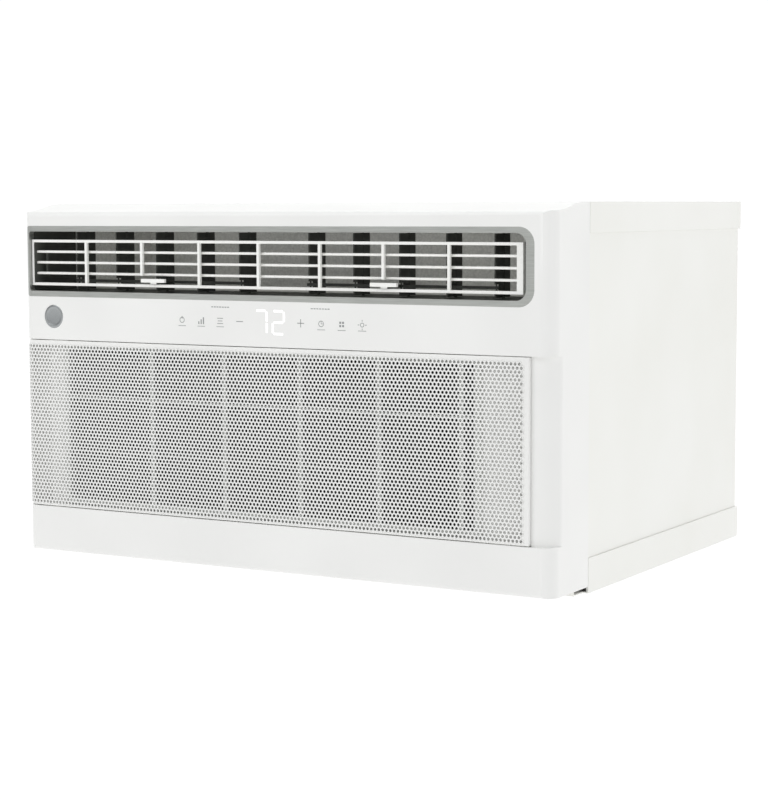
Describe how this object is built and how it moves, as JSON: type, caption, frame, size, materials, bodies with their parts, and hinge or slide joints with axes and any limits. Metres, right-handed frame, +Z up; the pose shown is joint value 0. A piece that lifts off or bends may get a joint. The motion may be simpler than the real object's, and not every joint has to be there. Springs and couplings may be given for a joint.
{
  "type": "window air conditioner",
  "caption": "White window air conditioner with a perforated wraparound intake door, touch control strip, silver-ringed louvred outlet and plain steel case.",
  "frame": {"origin": "centre of the footprint, on the underside of the base pan", "axes": "+X to the right across the front, +Y back into the window, +Z up; the front faces -Y"},
  "size_m": [0.6604, 0.5112, 0.3969],
  "materials": {
    "painted_steel": "white powder coat, fine texture",
    "galvanised_steel": "zinc-coated sheet",
    "cover_plastic": "moulded white ABS, satin",
    "grid_plastic": "moulded white, semi-gloss",
    "dark_plastic": "moulded dark grey",
    "ring_silver": "satin silver paint with fine lengthwise grain",
    "badge_metal": "spun satin disc",
    "filter_plastic": "moulded pale grey",
    "filter_net": "woven nylon net",
    "circuit_board": "solder mask",
    "duct_foam": "moulded expanded foam",
    "aluminium_fins": "mill finish",
    "motor_steel": "plated steel",
    "black_enamel": "black enamel",
    "rubber": "moulded rubber",
    "copper": "drawn copper tube"
  },
  "bodies": {
    "root": {"base_pan": "painted_steel", "top_cover": "painted_steel", "side_panel_left": "painted_steel", "side_panel_right": "painted_steel", "rear_panel": "painted_steel", "condenser_guard": "galvanised_steel", "bulkhead": "galvanised_steel", "front_cover": "cover_plastic", "trim_ring": "ring_silver", "badge": "badge_metal", "door_catch": "cover_plastic", "filter_frame": "filter_plastic", "filter_mesh": "filter_net", "outlet_duct": "dark_plastic", "louver_grid": "grid_plastic", "display_board": "circuit_board", "control_box": "galvanised_steel", "main_board": "circuit_board", "run_capacitor": "aluminium_fins", "air_plenum": "duct_foam", "blower_scroll": "duct_foam", "fan_motor": "motor_steel", "motor_bracket": "galvanised_steel", "fan_shroud": "duct_foam", "evaporator": "aluminium_fins", "drain_tray": "duct_foam", "condenser": "aluminium_fins", "compressor": "black_enamel", "compressor_mounts": "rubber", "accumulator": "black_enamel", "suction_line": "copper", "discharge_line": "copper", "liquid_line": "copper", "filter_drier": "copper", "foam_seals": "rubber", "cord_gland": "rubber", "drain_plug": "rubber", "case_screws": "galvanised_steel"},
    "intake_door": {"intake_door": "cover_plastic"},
    "fan_rotor": {"blower_wheel": "dark_plastic", "motor_shaft": "motor_steel", "condenser_fan": "dark_plastic"},
    "slat_top": {"slat_top": "grid_plastic"},
    "slat_middle": {"slat_middle": "grid_plastic"},
    "slat_bottom": {"slat_bottom": "grid_plastic"},
    "slat_link": {"slat_link": "grid_plastic"},
    "left_vane_link": {"left_vane_link": "grid_plastic"},
    "right_vane_link": {"right_vane_link": "grid_plastic"},
    "left_vane_1": {"left_vane_1": "dark_plastic"},
    "left_vane_2": {"left_vane_2": "dark_plastic"},
    "left_vane_3": {"left_vane_3": "dark_plastic"},
    "left_vane_4": {"left_vane_4": "dark_plastic"},
    "left_vane_5": {"left_vane_5": "dark_plastic"},
    "right_vane_1": {"right_vane_1": "dark_plastic"},
    "right_vane_2": {"right_vane_2": "dark_plastic"},
    "right_vane_3": {"right_vane_3": "dark_plastic"},
    "right_vane_4": {"right_vane_4": "dark_plastic"},
    "right_vane_5": {"right_vane_5": "dark_plastic"}
  },
  "joints": [
    {"name": "door_swing", "type": "hinge", "parent": "root", "child": "intake_door", "pos_m": [-0.3142, -0.2396, 0.1516], "axis": [0, 0, -1], "range_deg": [0, 80]},
    {"name": "fan_spin", "type": "hinge", "parent": "root", "child": "fan_rotor", "pos_m": [-0.06004, 0.0444, 0.184], "axis": [0, 1, 0], "continuous": true},
    {"name": "slat_middle_tilt", "type": "hinge", "parent": "root", "child": "slat_middle", "pos_m": [0, -0.2422, 0.3318], "axis": [1, 0, 0], "range_deg": [-18, 18]},
    {"name": "slat_top_tilt", "type": "hinge", "parent": "root", "child": "slat_top", "pos_m": [0, -0.2422, 0.3438], "axis": [1, 0, 0], "range_deg": [-18, 18]},
    {"name": "slat_bottom_tilt", "type": "hinge", "parent": "root", "child": "slat_bottom", "pos_m": [0, -0.2422, 0.3198], "axis": [1, 0, 0], "range_deg": [-18, 18]},
    {"name": "slat_link_pivot", "type": "hinge", "parent": "slat_middle", "child": "slat_link", "pos_m": [-0.31, -0.2346, 0.3318], "axis": [1, 0, 0], "range_deg": [-18, 18]},
    {"name": "left_vane_3_turn", "type": "hinge", "parent": "root", "child": "left_vane_3", "pos_m": [-0.16595, -0.2056, 0.333], "axis": [0, 0, 1], "range_deg": [-30, 30]},
    {"name": "left_vane_1_turn", "type": "hinge", "parent": "root", "child": "left_vane_1", "pos_m": [-0.2757, -0.2056, 0.333], "axis": [0, 0, 1], "range_deg": [-30, 30]},
    {"name": "left_vane_2_turn", "type": "hinge", "parent": "root", "child": "left_vane_2", "pos_m": [-0.22082, -0.2056, 0.333], "axis": [0, 0, 1], "range_deg": [-30, 30]},
    {"name": "left_vane_4_turn", "type": "hinge", "parent": "root", "child": "left_vane_4", "pos_m": [-0.11107, -0.2056, 0.333], "axis": [0, 0, 1], "range_deg": [-30, 30]},
    {"name": "left_vane_5_turn", "type": "hinge", "parent": "root", "child": "left_vane_5", "pos_m": [-0.0562, -0.2056, 0.333], "axis": [0, 0, 1], "range_deg": [-30, 30]},
    {"name": "left_vane_link_pivot", "type": "hinge", "parent": "left_vane_3", "child": "left_vane_link", "pos_m": [-0.16595, -0.2216, 0.311], "axis": [0, 0, 1], "range_deg": [-30, 30]},
    {"name": "right_vane_3_turn", "type": "hinge", "parent": "root", "child": "right_vane_3", "pos_m": [0.14135, -0.2056, 0.333], "axis": [0, 0, 1], "range_deg": [-30, 30]},
    {"name": "right_vane_1_turn", "type": "hinge", "parent": "root", "child": "right_vane_1", "pos_m": [0.0316, -0.2056, 0.333], "axis": [0, 0, 1], "range_deg": [-30, 30]},
    {"name": "right_vane_2_turn", "type": "hinge", "parent": "root", "child": "right_vane_2", "pos_m": [0.08647, -0.2056, 0.333], "axis": [0, 0, 1], "range_deg": [-30, 30]},
    {"name": "right_vane_4_turn", "type": "hinge", "parent": "root", "child": "right_vane_4", "pos_m": [0.19623, -0.2056, 0.333], "axis": [0, 0, 1], "range_deg": [-30, 30]},
    {"name": "right_vane_5_turn", "type": "hinge", "parent": "root", "child": "right_vane_5", "pos_m": [0.2511, -0.2056, 0.333], "axis": [0, 0, 1], "range_deg": [-30, 30]},
    {"name": "right_vane_link_pivot", "type": "hinge", "parent": "right_vane_3", "child": "right_vane_link", "pos_m": [0.14135, -0.2216, 0.311], "axis": [0, 0, 1], "range_deg": [-30, 30]}
  ],
  "couplings": [
    {"joint": "slat_top_tilt", "follows": "slat_middle_tilt", "ratio": 1},
    {"joint": "slat_bottom_tilt", "follows": "slat_middle_tilt", "ratio": 1},
    {"joint": "slat_link_pivot", "follows": "slat_middle_tilt", "ratio": -1},
    {"joint": "left_vane_1_turn", "follows": "left_vane_3_turn", "ratio": 1},
    {"joint": "left_vane_2_turn", "follows": "left_vane_3_turn", "ratio": 1},
    {"joint": "left_vane_4_turn", "follows": "left_vane_3_turn", "ratio": 1},
    {"joint": "left_vane_5_turn", "follows": "left_vane_3_turn", "ratio": 1},
    {"joint": "left_vane_link_pivot", "follows": "left_vane_3_turn", "ratio": -1},
    {"joint": "right_vane_1_turn", "follows": "right_vane_3_turn", "ratio": 1},
    {"joint": "right_vane_2_turn", "follows": "right_vane_3_turn", "ratio": 1},
    {"joint": "right_vane_4_turn", "follows": "right_vane_3_turn", "ratio": 1},
    {"joint": "right_vane_5_turn", "follows": "right_vane_3_turn", "ratio": 1},
    {"joint": "right_vane_link_pivot", "follows": "right_vane_3_turn", "ratio": -1}
  ]
}
